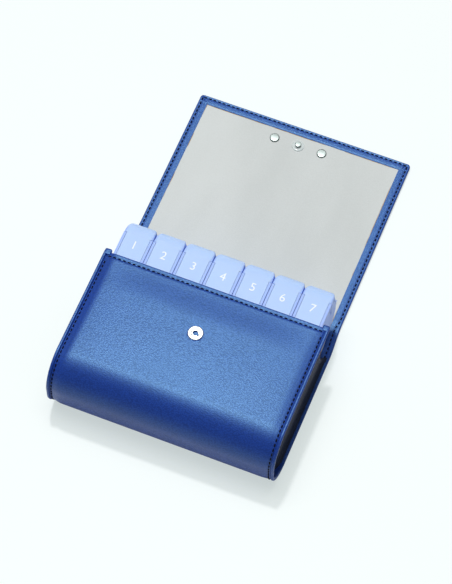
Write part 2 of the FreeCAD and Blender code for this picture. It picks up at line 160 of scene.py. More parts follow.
class WalletColours(bpy.types.PropertyGroup):
    """Colours of the wallet, its boxes and its metal."""

    leatherette: colour("Leatherette", "Blue leatherette", (0.014, 0.052, 0.340))
    leatherette_dark: colour("Leatherette pits", "Hollows of the grain", (0.008, 0.030, 0.220))
    gloss: colour("Leatherette gloss", "Blue tint of the leatherette's gloss", (0.37, 0.74, 1.0))
    # Side wall colour is painted shade: the blue leatherette darkened to stand in for the shadow in the
    # recessed side walls.
    side_wall: colour("Side wall", "Dark leatherette of the side walls", (0.006, 0.012, 0.034))
    bare_edge: colour("Bare edge", "Worn tip of a corner", (0.75, 0.76, 0.74))
    thread: colour("Thread", "Navy sewing thread", (0.0015, 0.002, 0.008))
    lining: colour("Lining", "Light grey lining", (0.655, 0.68, 0.67))
    lining_dark: colour("Lining shade", "Darker nap of the lining", (0.57, 0.595, 0.585))
    glue: colour("Glue line", "Dried glue beside the turned edge", (0.42, 0.26, 0.10))
    card: colour("Card", "Grey-brown card", (0.30, 0.24, 0.17))
    nickel: colour("Nickel", "Plated metal", (0.80, 0.82, 0.81))
    # Rivet colour is painted shade: a darker copy of the nickel plate that stands in for how the domed rivet
    # heads catch less light.
    rivet: colour("Rivet", "Duller plate of the rivets", (0.27, 0.31, 0.30))
    washer: colour("Washer", "Clear washer", (0.80, 0.87, 0.87))
    lid: colour("Lid", "Pale translucent blue", (0.48, 0.64, 0.97))
    tray: colour("Tray", "Translucent blue", (0.42, 0.56, 0.95))
    plastic_edge: colour("Plastic edge", "Where the light runs along a wall", (0.33, 0.47, 0.96))
    ink: colour("Numbers", "White print", (0.86, 0.90, 0.93))
    floor: colour("Floor", "White table", (0.93, 0.94, 0.94))
    floor_glow: colour("Floor glow", "Pale tint that the shadows take on", (0.91, 1.0, 0.985))


class WalletStage(bpy.types.PropertyGroup):
    """Camera, number print and steps round turned pieces."""

    azimuth: FloatProperty(name="Azimuth", description="Camera round the wallet", subtype="ANGLE",
                           default=math.radians(21.953))
    elevation: FloatProperty(name="Elevation", description="Camera above the table", subtype="ANGLE",
                             default=math.radians(61.496))
    distance: length("Distance", "Camera from its aim plane", 1.6692)
    aim_right: length("Aim right", "Picture middle to the right of the pocket's bottom middle", 0.041231)
    aim_up: length("Aim up", "Picture middle above the pocket's bottom middle", 0.098347)
    lens: FloatProperty(name="Lens", description="Focal length in millimetres", default=166.2)
    number_height: length("Number height", "Height of a printed digit", 5.6 * MM)
    number_up: length("Number place", "Middle of a digit above the mouth edge", 11.0 * MM)
    turns: IntProperty(name="Turns", description="Steps round a turned piece", default=64)


def smooth_step(start, end, value):
    """0 before start, 1 after end, and 3t² - 2t³ between them."""
    t = np.clip((value - start) / (end - start), 0.0, 1.0)
    return t * t * (3.0 - 2.0 * t)


def edge_round(distance, radius):
    """Quarter circle: 0 at the edge, 1 from one radius inwards."""
    t = np.clip(distance / radius, 0.0, 1.0)
    return np.sqrt(1.0 - (1.0 - t) ** 2)


def dip(distance, width):
    """Bell curve: 1 at distance 0, e^-1 at one width."""
    return np.exp(-(distance / width) ** 2)


def grid_lines(low, high, step, fine=(), edges=()):
    """Sorted grid lines: even steps, five close ones round each fine place, and a quarter circle's
    worth of lines inwards from each edge given as (place, direction)."""
    lines = [np.linspace(low, high, max(2, int(round((high - low) / step)) + 1))]
    for place, reach in fine:
        lines.append(place + reach * np.linspace(-1.0, 1.0, 9))
    for place, inwards in edges:
        lines.append(place + inwards * EDGE_REACH * (1.0 - np.cos(np.linspace(0.0, math.pi / 2, 7))))
    lines = np.concatenate(lines)
    lines = np.unique(np.round(lines[(lines >= low) & (lines <= high)], 7))
    return lines[np.concatenate([[True], np.diff(lines) > LAST_GAP])]


def new_object(name, mesh, finish, body=None):
    """Object at the origin with one finish, on a body of the frame."""
    thing = bpy.data.objects.new(name, mesh)
    bpy.context.scene.collection.objects.link(thing)
    mesh.materials.clear()
    mesh.materials.append(finish)
    if body:
        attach(thing, body)
    return thing


def finished_mesh(name, points, faces, sharp=math.radians(50.0)):
    """Mesh from an array of points and arrays of faces: welded, facing outwards, smooth but for sharp
    edges."""
    mesh = bpy.data.meshes.new(name)
    polygons = [face for group in faces for face in group.tolist()]
    mesh.from_pydata(points.reshape(-1, 3).tolist(), [], polygons)
    work = bmesh.new()
    work.from_mesh(mesh)
    bmesh.ops.remove_doubles(work, verts=work.verts, dist=0.001 * MM)
    bmesh.ops.dissolve_degenerate(work, edges=work.edges, dist=0.0005 * MM)
    if work.calc_volume(signed=True) < 0.0:
        bmesh.ops.reverse_faces(work, faces=work.faces)
    work.to_mesh(mesh)
    work.free()
    mesh.polygons.foreach_set("use_smooth", np.ones(len(mesh.polygons), bool))
    mesh.set_sharp_from_angle(angle=sharp)
    return mesh


def grid_faces(rows, columns, first=0, wrap=False):
    """Quads between neighbouring rows and columns of a grid of points, closed round the columns if wrap."""
    across = np.arange(columns if wrap else columns - 1)
    row, column = np.meshgrid(np.arange(rows - 1), across, indexing="ij")
    after = (column + 1) % columns
    near = row * columns
    far = near + columns
    quads = np.stack([near + column, near + after, far + after, far + column], -1)
    return first + quads.reshape(-1, 4)


def sheet_mesh(name, upper, lower):
    """Closed sheet between two grids of points with the same rows and columns: the upper face, the lower
    face the other way round, and a strip along each of the four borders."""
    rows, columns = upper.shape[:2]
    under = rows * columns
    index = np.arange(under).reshape(rows, columns)
    border = np.concatenate([index[0, :-1], index[:-1, -1], index[-1, :0:-1], index[:0:-1, 0]])
    after = np.roll(border, -1)
    strip = np.stack([after, border, border + under, after + under], -1)
    faces = [grid_faces(rows, columns), grid_faces(rows, columns, under)[:, ::-1], strip]
    return finished_mesh(name, np.concatenate([upper.reshape(-1, 3), lower.reshape(-1, 3)]), faces)


def round_profile(corner_list, steps=8):
    """Profile through corners (radius, z, rounding): each rounded corner is a quadratic curve between the
    points one rounding before and after it."""
    points = np.array([corner[:2] for corner in corner_list], float)
    rounding = np.array([corner[2] if len(corner) > 2 else 0.0 for corner in corner_list])
    profile = []
    t = np.linspace(0.0, 1.0, steps)[:, None]
    for i, point in enumerate(points):
        if rounding[i] == 0.0:
            profile.append(point[None])
            continue
        before = points[i - 1] - point
        after = points[(i + 1) % len(points)] - point
        start = point + before / np.linalg.norm(before) * rounding[i]
        end = point + after / np.linalg.norm(after) * rounding[i]
        profile.append((1 - t) ** 2 * start + 2 * t * (1 - t) * point + t ** 2 * end)
    return np.concatenate(profile)


def turned_mesh(name, corner_list, places, turns):
    """Closed profile of (radius, z) carried round an upright axis, at each place (x, y)."""
    profile = round_profile(corner_list)
    profile = np.concatenate([profile, profile[:1]])
    angle = np.linspace(0.0, 2.0 * math.pi, turns, endpoint=False)
    ring = np.stack([np.cos(angle), np.sin(angle)], -1)
    one = np.empty((len(profile), turns, 3))
    one[..., :2] = profile[:, None, :1] * ring[None]
    one[..., 2] = profile[:, None, 1]
    points = [one + np.array([x, y, 0.0]) for x, y in places]
    faces = [grid_faces(len(profile), turns, i * len(profile) * turns, True) for i in range(len(places))]
    return finished_mesh(name, np.concatenate(points), faces, math.radians(35.0))


class SheetPath:
    """The wallet's outer face from the mouth edge over the front panel, round the bottom, along the back and
    over the spine to the free edge of the flap. s is the way from the mouth edge along that face."""

    def __init__(self, sizes):
        self.sizes = sizes
        self.mouth = GUSSET_HIGH[1] - sizes.mouth_back
        self.radius = sizes.bottom_radius
        self.flat = HEIGHT - 2.0 * self.radius
        self.quarter = self.radius * math.pi / 2.0
        self.front = self.mouth - BOTTOM_Y - self.radius
        self.under = self.front + self.quarter + self.flat
        self.back = self.under + self.quarter
        self.fold_1 = self.back + FOLD_1[1] - BOTTOM_Y - self.radius
        self.fold_2 = self.fold_1 + FOLD_2[1] - FOLD_1[1]
        self.middle = (self.fold_1 + self.fold_2) / 2.0
        self.end = self.fold_1 + FLAP_END - FOLD_1[1]
        self.gusset_end = self.back + GUSSET_HIGH[1] - BOTTOM_Y - self.radius

    def on_flap(self, s):
        """0 on the case, 1 past the first fold."""
        return smooth_step(self.fold_1 - 6.0 * MM, self.fold_1 + 1.0 * MM, s)

    def on_case(self, s):
        """1 on the front and the round bottom, 0 on the back."""
        return 1.0 - smooth_step(self.back - 12.0 * MM, self.back + 12.0 * MM, s)

    def place(self, s):
        """y, z and the outward direction in the YZ plane: straight, quarter circle, straight, quarter circle,
        straight. The last straight climbs by the flap's lift at the first fold."""
        turn_1 = np.clip((s - self.front) / self.radius, 0.0, math.pi / 2.0)
        turn_2 = np.clip((s - self.under) / self.radius, 0.0, math.pi / 2.0)
        turn = turn_1 + turn_2
        y = self.mouth - np.minimum(s, self.front) - self.radius * np.sin(turn_1)
        y = y + self.radius * (1.0 - np.cos(turn_2)) + np.maximum(s - self.back, 0.0)
        z = HEIGHT - self.radius * (1.0 - np.cos(turn_1)) - self.radius * np.sin(turn_2)
        z = z - np.clip(s - self.front - self.quarter, 0.0, self.flat) + FLAP_LIFT * self.on_flap(s)
        return y, z, -np.sin(turn), np.cos(turn)

    def half_width(self, s):
        """Half the width: the case, then the narrower flap with its rounded free corners."""
        narrow = smooth_step(self.gusset_end, self.fold_1 - 2.0 * MM, s)
        half = CASE_HALF - (CASE_HALF - FLAP_HALF) * narrow
        corner = self.sizes.corner
        return half - corner * (1.0 - edge_round(self.end - s, corner))

    def across(self, x, s):
        """Grid line x moved with the edge where the sheet is narrower, more so near the edge."""
        near_edge = smooth_step(0.6 * CASE_HALF, 0.85 * CASE_HALF, np.abs(x))
        return x - np.sign(x) * near_edge * (CASE_HALF - self.half_width(s))

    def seam_inset(self, s):
        """Side seam from the edge: the case's inset, then the flap's."""
        return self.sizes.rim_seam + (self.sizes.flap_seam - self.sizes.rim_seam) * self.on_flap(s)

    def relief(self, x, s):
        """Outer face above the plain path: the panel slopes down to the side seam, a groove parts the seam
        from the round rim, seams pull in, and the front panel swells between the mouth and the
        bottom, but not under the socket."""
        sizes = self.sizes
        edge = self.half_width(s) - np.abs(x)
        seam = self.seam_inset(s)
        case = self.on_case(s)
        drop = sizes.rim_drop * (1.0 - 0.6 * (x > 0.0))
        rise = -drop * case * (1.0 - smooth_step(seam, seam + sizes.rim_slope, edge))
        rise = rise - 0.3 * sizes.seam_dip * dip(edge - seam, sizes.seam_width)
        piping = 1.0 - smooth_step(0.8 * sizes.piping, 1.2 * sizes.piping, edge)
        groove = dip(edge - 1.3 * sizes.piping, 0.25 * sizes.piping)
        rise = rise + case * (0.7 * drop * piping - sizes.piping_groove * groove)
        rise = rise - 0.6 * sizes.seam_dip * dip(s - sizes.hem_seam, sizes.seam_width) * (edge > seam)
        far_seam = dip(self.end - s - sizes.flap_seam, sizes.seam_width)
        rise = rise - 0.3 * sizes.seam_dip * far_seam * (edge > seam)
        swell = smooth_step(sizes.hem_seam, sizes.hem_seam + sizes.mouth_fall, s)
        swell = swell * (1.0 - smooth_step(self.front - self.quarter, self.front + self.quarter, s))
        swell = swell * (1.0 - np.clip(np.abs(x) / (CASE_HALF - seam), 0.0, 1.0) ** 4)
        middle = (SOCKET_LOW + SOCKET_HIGH) / 2.0
        radius = SOCKET_HIGH[1] - middle[1]
        from_socket = np.hypot(x - middle[0], self.place(s)[0] - middle[1])
        return rise + sizes.pillow * (swell * smooth_step(0.6 * radius, 0.98 * radius, from_socket))

    def wall(self, s):
        """Leatherette and card together."""
        return self.sizes.case_wall + (self.sizes.flap_wall - self.sizes.case_wall) * self.on_flap(s)

    def border(self, x, s):
        """1 where leatherette is turned over the edge: the mouth's hem, the long edges and the free edge."""
        side = np.abs(x) > self.half_width(s) - BORDER_WIDTH
        return side | (s < self.sizes.hem) | (s > self.end - BORDER_WIDTH)

    def band(self, x, s):
        """Overlaps at the free corners of the turned edge: a mitre line at the left, and at the right the far
        strip's rounded end on top of the side strip."""
        edge = self.half_width(s) - np.abs(x)
        end = self.end - s
        mitre = dip(edge - end, 0.35 * MM) * (x < 0.0) * (np.maximum(edge, end) < BORDER_WIDTH)
        half = BORDER_WIDTH / 2.0
        beyond = np.maximum(x - (FLAP_HALF - BORDER_WIDTH - 0.5 * MM), 0.0)
        inside = half - np.hypot(beyond, end - half)
        strip = smooth_step(0.0, 0.5 * MM, inside) * (end < BORDER_WIDTH)
        return 0.25 * MM * strip - 0.3 * MM * mitre

    def depth(self, x, s):
        """Inner face below the path: the wall, with the turned edge where there is one."""
        turned = self.sizes.lining + (self.sizes.turned_edge - self.sizes.lining) * self.on_flap(s)
        edge = self.half_width(s) - np.abs(x)
        groove = 0.3 * self.sizes.seam_dip * dip(edge - self.seam_inset(s), self.sizes.seam_width)
        far = dip(self.end - s - self.sizes.flap_seam, self.sizes.seam_width)
        far = far * (edge > self.sizes.flap_seam)
        groove = np.maximum(groove, 0.3 * self.sizes.seam_dip * far)
        return self.wall(s) + self.border(x, s) * (turned + self.band(x, s) - groove)

    def face(self, x, s, offset):
        """Points at an offset outwards from the path."""
        y, z, out_y, out_z = self.place(s)
        x, y, z = np.broadcast_arrays(x, y + offset * out_y, z + offset * out_z)
        return np.stack([x, y, z], -1)

    def outer(self, x, s):
        """Points of the outer face."""
        return self.face(x, s, self.relief(x, s))

    def inner(self, x, s):
        """Points of the inner face."""
        return self.face(x, s, -self.depth(x, s))

    def lines(self, start, end):
        """Grid lines along s, closer at the round bottom, the folds, the seams and the edges."""
        sizes = self.sizes
        fine = [(sizes.hem_seam, 2.0 * MM), (sizes.hem, 0.1 * MM), (self.end - BORDER_WIDTH, 0.1 * MM),
                (self.end - sizes.flap_seam, 2.0 * MM), (self.end - BORDER_WIDTH / 2, BORDER_WIDTH / 2),
                (self.mouth - (SOCKET_LOW[1] + SOCKET_HIGH[1]) / 2.0, SOCKET_HIGH[0])]
        fine += [(fold, sizes.fold_reach) for fold in (self.fold_1, self.fold_2)]
        return grid_lines(start, end, 1.6 * MM, fine, [(0.0, 1.0), (self.end, -1.0)])

    def columns(self):
        """Grid lines across, closer at the seams, the turned edges and the side edges."""
        sizes = self.sizes
        inner_edge = CASE_HALF - BORDER_WIDTH
        fine = [(side * (CASE_HALF - inset), 2.0 * MM) for side in (-1.0, 1.0)
                for inset in (sizes.rim_seam, sizes.flap_seam)]
        fine += [(side * inner_edge, 0.1 * MM) for side in (-1.0, 1.0)] + [(0.0, SOCKET_HIGH[0])]
        fine += [(side * (inner_edge + BORDER_WIDTH / 2), BORDER_WIDTH / 2) for side in (-1.0, 1.0)]
        return grid_lines(-CASE_HALF, CASE_HALF, 2.0 * MM, fine, [(-CASE_HALF, 1.0), (CASE_HALF, -1.0)])

    def leather(self, name, start, end):
        """Closed leatherette between two places along s. Both faces run together in a half round at the
        mouth, the free edge and the long edges."""
        s = self.lines(start, end)[:, None]
        x = self.across(self.columns()[None, :], s)
        edge = np.minimum(self.half_width(s) - np.abs(x), np.minimum(s, self.end - s))
        top = self.relief(x, s)
        foot = -self.depth(x, s)
        full = edge_round(edge, 0.9 * MM)
        middle = (top + foot) / 2.0
        upper = self.face(x, s, middle + (top - middle) * full)
        lower = self.face(x, s, middle + (foot - middle) * full)
        return sheet_mesh(name, upper, lower)

    def lining(self, name, start, end):
        """Closed lining between two places along s, on the card and between the turned edges."""
        s = self.lines(max(start, self.sizes.hem), min(end, self.end - BORDER_WIDTH))[:, None]
        share = np.linspace(-1.0, 1.0, 75)[None, :]
        x = share * (self.half_width(np.minimum(s, self.end - BORDER_WIDTH)) - BORDER_WIDTH)
        nap = 0.04 * MM * np.sin(x * 210.0 + 3.0 * np.sin(s * 130.0)) * np.sin(s * 190.0)
        foot = self.wall(s) + 0.02 * MM
        upper = self.face(x, s, -foot - self.sizes.lining - nap)
        return sheet_mesh(name, upper, self.face(x, s, -foot + 0.0 * x))


class Wire:
    """One output socket of a shader node. Arithmetic on it adds Math nodes."""

    def __init__(self, tree, socket):
        self.tree = tree
        self.socket = socket

    def node(self, kind, settings=None, inputs=None, out=0):
        """Any other node: its type, settings, values or links of its sockets, and the output wanted."""
        node = self.tree.nodes.new(kind)
        for key, value in (settings or {}).items():
            setattr(node, key, value)
        for key, value in (inputs or {}).items():
            if isinstance(value, Wire):
                self.tree.links.new(value.socket, node.inputs[key])
            else:
                node.inputs[key].default_value = value
        return Wire(self.tree, node.outputs[out]) if node.outputs else None

    def math(self, operation, first, second):
        """Math node on two wires or numbers."""
        return self.node("ShaderNodeMath", {"operation": operation}, {0: first, 1: second})

    def __add__(self, other):
        return self.math("ADD", self, other)

    def __radd__(self, other):
        return self.math("ADD", other, self)

    def __sub__(self, other):
        return self.math("SUBTRACT", self, other)

    def __rsub__(self, other):
        return self.math("SUBTRACT", other, self)

    def __mul__(self, other):
        return self.math("MULTIPLY", self, other)

    def __rmul__(self, other):
        return self.math("MULTIPLY", other, self)

    def between(self, low, high):
        """0 below low, 1 above high, smooth between them."""
        settings = {"interpolation_type": "SMOOTHSTEP"}
        inputs = {"Value": self, "From Min": low, "From Max": high}
        return self.node("ShaderNodeMapRange", settings, inputs, "Result")

    def noise(self, scale, detail=3.0, roughness=0.5, distortion=0.0):
        """Noise at this place."""
        inputs = {"Vector": self, "Scale": scale, "Detail": detail, "Roughness": roughness,
                  "Distortion": distortion}
        return self.node("ShaderNodeTexNoise", {"noise_dimensions": "3D"}, inputs, "Fac")

    def cells(self, scale):
        """Distance inside the cells of a Voronoi pattern."""
        inputs = {"Vector": self, "Scale": scale}
        return self.node("ShaderNodeTexVoronoi", {"feature": "F1"}, inputs, "Distance")

    def mixed(self, first, second):
        """Colour between two colours, by this factor."""
        wide = [(*shade, 1.0) if not isinstance(shade, Wire) else shade for shade in (first, second)]
        inputs = {0: self, 6: wide[0], 7: wide[1]}
        return self.node("ShaderNodeMix", {"data_type": "RGBA"}, inputs, 2)

    def bump(self, strength, distance):
        """Normal from this height."""
        inputs = {"Height": self, "Strength": strength, "Distance": distance}
        return self.node("ShaderNodeBump", {}, inputs, "Normal")

    def axis(self, letter):
        """One coordinate of this place."""
        return self.node("ShaderNodeSeparateXYZ", {}, {0: self}, letter)

    def scaled(self, factors):
        """This place, stretched along each axis."""
        return self.node("ShaderNodeMapping", {"vector_type": "POINT"}, {"Vector": self, "Scale": factors})


def blank_finish(name):
    """New material, and the place on the piece that its nodes start from."""
    material = bpy.data.materials.new(name)
    material.use_nodes = True
    material.node_tree.nodes.clear()
    tree = material.node_tree
    return material, Wire(tree, tree.nodes.new("ShaderNodeTexCoord").outputs["Object"])


def surface(material, place, inputs):
    """Principled surface as the material's output."""
    shader = place.node("ShaderNodeBsdfPrincipled", {}, inputs, "BSDF")
    place.node("ShaderNodeOutputMaterial", {}, {"Surface": shader})
    return material


def grain(place):
    """Height of a pebbled grain: slanting cells of about a millimetre, with finer creases."""
    slant = place.node("ShaderNodeMapping", {}, {"Vector": place, "Rotation": (0.0, 0.0, 0.5),
                                                 "Scale": (0.55, 1.0, 1.0)})
    return (1.0 - slant.cells(1600.0)) * 0.8 + place.noise(1500.0, 2.0, 0.5, 0.3) * 0.3


def side_wall_finish(colours):
    """Leatherette of the side walls, darkened as painted shade: its colour stands in for the shadow in the
    recessed walls.
    """
    material, place = blank_finish("side_wall")
    height = grain(place)
    raised = tuple(1.8 * c for c in colours.side_wall)
    return surface(material, place, {
        # Painted shade: the base colour is the darkened side wall leatherette, with lighter grain tops.
        "Base Color": height.between(0.3, 0.8).mixed(colours.side_wall, raised),
        "Roughness": 0.55 + height * 0.1,
        "Normal": height.bump(0.4, 0.15 * MM),
        "Specular IOR Level": 0.25,
    })


def leatherette_finish(colours):
    """Pebbled blue leatherette: slanting grain, darker hollows, blue gloss, a worn tip at one corner."""
    material, place = blank_finish("leatherette_grain")
    height = grain(place)
    hollows = place.noise(900.0, 4.0, 0.6, 0.4)
    broad = place.noise(28.0, 2.0)
    pits = (height * 0.85 + broad * 0.15).between(0.35, 0.75)
    tone = pits.mixed(colours.leatherette_dark, colours.leatherette)
    corner_x = place.axis("X") + FLAP_HALF
    corner_y = FLAP_END - place.axis("Y")
    worn = 1.0 - (corner_x + corner_y + hollows * 0.6 * MM).between(1.6 * MM, 2.4 * MM)
    tone = worn.mixed(tone, colours.bare_edge)
    return surface(material, place, {
        "Base Color": tone,
        "Roughness": 0.42 - pits * 0.08,
        "Normal": height.bump(0.5, 0.14 * MM),
        "Specular IOR Level": 0.75,
        "Specular Tint": (*colours.gloss, 1.0),
    })


def thread_finish(colours):
    """Twisted navy thread."""
    material, place = blank_finish("thread")
    strands = place.noise(2600.0, 2.0)
    return surface(material, place, {
        "Base Color": strands.mixed(colours.thread, tuple(2.2 * c for c in colours.thread)),
        "Roughness": 0.6 + strands * 0.2,
        "Normal": strands.bump(0.5, 0.1 * MM),
        "Specular IOR Level": 0.12,
    })


def lining_finish(colours):
    """Light grey suede-like lining: mottled nap, a thin line of dried glue beside the turned edge."""
    material, place = blank_finish("lining_nap")
    nap = place.noise(1500.0, 4.0, 0.7)
    clouds = place.scaled((1.0, 0.35, 1.0)).noise(16.0, 3.0, 0.55)
    tone = (clouds * 0.6 + nap * 0.4).between(0.35, 0.65).mixed(colours.lining_dark, colours.lining)
    across = place.axis("X")
    inside_x = WINDOW_HALF - across.node("ShaderNodeMath", {"operation": "ABSOLUTE"}, {0: across})
    inside_y = LINING_HIGH[1] - place.axis("Y")
    inside = inside_x.math("MINIMUM", inside_x, inside_y)
    patches = place.noise(55.0, 2.0).between(0.46, 0.58)
    glue = (1.0 - inside.between(0.25 * MM, 0.5 * MM)) * patches
    return surface(material, place, {
        "Base Color": glue.mixed(tone, colours.glue),
        "Roughness": 0.88 + nap * 0.1,
        "Normal": nap.bump(0.35, 0.12 * MM),
        "Sheen Weight": 0.2,
        "Sheen Roughness": 0.6,
    })


def card_finish(colours):
    """Grey-brown card with fibres."""
    material, place = blank_finish("card_fibre")
    fibres = place.scaled((1.0, 0.2, 1.0)).noise(900.0, 4.0)
    return surface(material, place, {
        "Base Color": fibres.mixed(colours.card, tuple(1.3 * c for c in colours.card)),
        "Roughness": 0.9 + fibres * 0.1,
        "Normal": fibres.bump(0.3, 0.1 * MM),
    })


def nickel_finish(colours):
    """Bright plate of the press stud."""
    return plate_finish("nickel_plate", colours.nickel, 0.34)


def rivet_finish(colours):
    """Plated metal of the rivets and the stud post, with painted shade: a darker copy of the nickel plate."""
    return plate_finish("rivet_plate", colours.rivet, 0.28)


def plate_finish(name, tone, roughness):
    """Plated metal with fine turning marks and a little tarnish."""
    material, place = blank_finish(name)
    marks = place.scaled((1.0, 1.0, 6.0)).noise(700.0, 3.0)
    tarnish = place.noise(260.0, 3.0).between(0.45, 0.75)
    return surface(material, place, {
        "Base Color": tarnish.mixed(tone, tuple(0.88 * c for c in tone)),
        "Metallic": 1.0,
        "Roughness": roughness + marks * 0.12,
        "Normal": marks.bump(0.12, 0.05 * MM),
    })


def washer_finish(colours):
    """Clear soft plastic."""
    material, place = blank_finish("clear_washer")
    cloud = place.noise(500.0, 2.0)
    return surface(material, place, {
        "Base Color": cloud.mixed(colours.washer, tuple(min(1.0, 1.1 * c) for c in colours.washer)),
        "Roughness": 0.12 + cloud * 0.1,
        "Alpha": 0.55,
        "Coat Weight": 0.5,
    })


def box_finish(name, tone, edge_light_tone, pitch, half):
    """Translucent blue plastic with faint flow marks; the more saturated blue towards the long walls of each
    box is painted light, standing in for light carried along the walls.
    """
    material, place = blank_finish(name)
    across = place.axis("X")
    turn = across.node("ShaderNodeMath", {"operation": "PINGPONG"}, {0: across, 1: pitch / 2.0})
    from_middle = turn if len(DAYS) % 2 else pitch / 2.0 - turn
    # Painted light: the saturated blue near each box's long walls stands in for light running along the plastic
    # walls.
    wall = from_middle.between(half - 1.9 * MM, half - 0.2 * MM)
    flow = place.scaled((1.0, 0.25, 1.0)).noise(60.0, 2.0)
    shade = (wall * 0.75 + flow * 0.12).mixed(tone, edge_light_tone)
    return surface(material, place, {
        "Base Color": shade,
        "Roughness": 0.38 + flow * 0.12,
        "Normal": flow.bump(0.05, 0.3 * MM),
        "Subsurface Weight": 0.2,
        "Subsurface Radius": (0.6, 0.8, 1.0),
        "Subsurface Scale": 2.0 * MM,
        "Specular IOR Level": 0.16,
    })


def ink_finish(colours):
    """Opaque white print."""
    material, place = blank_finish("white_print")
    grain = place.noise(1800.0, 2.0)
    return surface(material, place, {
        "Base Color": grain.mixed(colours.ink, tuple(0.97 * c for c in colours.ink)),
        "Roughness": 0.4 + grain * 0.1,
    })


def floor_finish(colours):
    """White table with a faint gloss. The camera sees part of it as plain white, which keeps shadows pale."""
    material, place = blank_finish("white_table")
    cloud = place.noise(3.0, 2.0)
    table = place.node("ShaderNodeBsdfPrincipled", {}, {
        "Base Color": cloud.mixed(colours.floor, tuple(min(1.0, 1.03 * c) for c in colours.floor)),
        "Roughness": 0.4 + cloud * 0.1,
        "Specular IOR Level": 0.25,
    }, "BSDF")
    white = place.node("ShaderNodeEmission", {}, {"Color": (*colours.floor_glow, 1.0), "Strength": 1.0})
    seen = place.node("ShaderNodeLightPath", {}, {}, "Is Camera Ray") * 0.58
    place.node("ShaderNodeOutputMaterial", {}, {
        "Surface": place.node("ShaderNodeMixShader", {}, {0: seen, 1: table, 2: white}),
    })
    return material


def shared_finish(maker):
    """A finish that several operators use, made once."""
    made = bpy.data.materials.get(maker.__name__)
    if made is None:
        made = maker(bpy.context.scene.wallet_colours)
        made.name = maker.__name__
    return made


def finish_nodes(nodes, material):
    """New finish on nodes that keep their shape."""
    for node in nodes:
        for slot in frame["nodes"][node].material_slots:
            slot.material = material


def fold_blend(piece, fold, before, after, reach):
    """Piece with its place baked into its mesh."""
    fold[1] - reach
    fold[1] + reach
    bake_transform(piece)


class WALLET_OT_leather(bpy.types.Operator):
    """Outer leatherette of the case and the flap, one sheet cut in the middle of the spine"""

    bl_idname = "wallet.leather"
    bl_label = "Leatherette"

    def execute(self, context):
        sizes = context.scene.wallet_sizes
        path = SheetPath(sizes)
        finish = shared_finish(leatherette_finish)
        case = new_object("case_leather", path.leather("case_leather", 0.0, path.middle), finish)
        flap = new_object("flap_leather", path.leather("flap_leather", path.middle, path.end), finish)
        fold_blend(case, FOLD_1, "case", "flap_spine", sizes.fold_reach)
        fold_blend(flap, FOLD_2, "flap_spine", "flap_cover", sizes.fold_reach)
        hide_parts("case_skin")
        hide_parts("spine_skin", "flap_skin")
        return {"FINISHED"}


class WALLET_OT_gussets(bpy.types.Operator):
    """Side walls, set in from the rims"""

    bl_idname = "wallet.gussets"
    bl_label = "Side walls"

    def execute(self, context):
        sizes = context.scene.wallet_sizes
        for name, side in SIDES.items():
            mesh = gusset_mesh("gusset_" + name, side, sizes)
            piece = new_object("gusset_" + name, mesh, shared_finish(side_wall_finish), "case")
            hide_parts("side_gusset_" + name)
            tab = tab_mesh("mouth_tab_" + name, side, sizes)
            new_object("mouth_tab_" + name, tab, shared_finish(leatherette_finish), "case")
        return {"FINISHED"}


def tab_mesh(name, side, sizes):
    """Tab at an end of the mouth: a rounded block, each coordinate a power of cosine or sine of the two
    angles, so that its faces are flat and its edges round."""
    path = SheetPath(sizes)
    up = np.linspace(-math.pi / 2.0, math.pi / 2.0, 17)[:, None]
    around = np.linspace(0.0, 2.0 * math.pi, 33)[None, :]

    def soft(value):
        return np.sign(value) * np.abs(value) ** 0.45

    x = side * (CASE_HALF - 1.1 * sizes.tab) + sizes.tab * soft(np.cos(up)) * soft(np.cos(around))
    y = path.mouth - 0.1 * sizes.tab + 0.95 * sizes.tab * soft(np.cos(up)) * soft(np.sin(around))
    z = HEIGHT - 1.3 * MM + 1.1 * MM * soft(np.sin(up)) + 0.0 * around
    points = np.stack(np.broadcast_arrays(x, y, z), -1)
    return finished_mesh(name, points, [grid_faces(*points.shape[:2])])


def gusset_mesh(name, side, sizes):
    """Side wall: from the round bottom to a scooped top edge along one parameter, from the back panel to the
    front panel along the other. It bows out in the middle, flares into the panels and has a thick top hem."""
    path = SheetPath(sizes)
    wall = sizes.case_wall + 0.3 * MM
    across = np.sin(np.linspace(-1.0, 1.0, 61) * math.pi / 2.0)[None, :]
    along = np.concatenate([np.linspace(0.0, 0.9, 46), np.linspace(0.905, 1.0, 24)])[:, None]
    half = HEIGHT / 2.0 - wall
    z = HEIGHT / 2.0 + across * half
    bend = path.radius - wall
    rise = np.clip(np.abs(z - HEIGHT / 2.0) - path.flat / 2.0, 0.0, bend)
    low = BOTTOM_Y + path.radius - np.sqrt(bend ** 2 - rise ** 2)
    front = path.mouth - 1.0 * MM
    back = GUSSET_HIGH[1]
    top = back + (front - back) * (across + 1.0) / 2.0 - sizes.gusset_scoop * (1.0 - across ** 2)
    y = low + along * (top - low)
    to_top = top - y
    bow = sizes.gusset_bow * (1.0 - across ** 2) * (0.25 + 0.75 * along)
    ripple = sizes.pleat * np.cos(across * 5.0 * math.pi) * (1.0 - across ** 2) * (0.4 + 0.6 * along)
    gap = (1.0 - np.abs(across)) * half
    flare = 3.0 * MM * np.exp(-gap / (1.2 * MM)) + 0.0 * along
    hem = 0.35 * MM * (1.0 - smooth_step(3.2 * MM, 3.8 * MM, to_top))
    full = edge_round(to_top, 0.6 * MM)
    middle = GUSSET_LOW[0] + 0.4 * MM + bow + ripple + flare
    outer = middle + (0.4 * MM + hem) * full
    inner = middle - 0.4 * MM * full
    outer, inner, y, z = np.broadcast_arrays(outer, inner, y, z)
    return sheet_mesh(name, np.stack([side * outer, y, z], -1), np.stack([side * inner, y, z], -1))


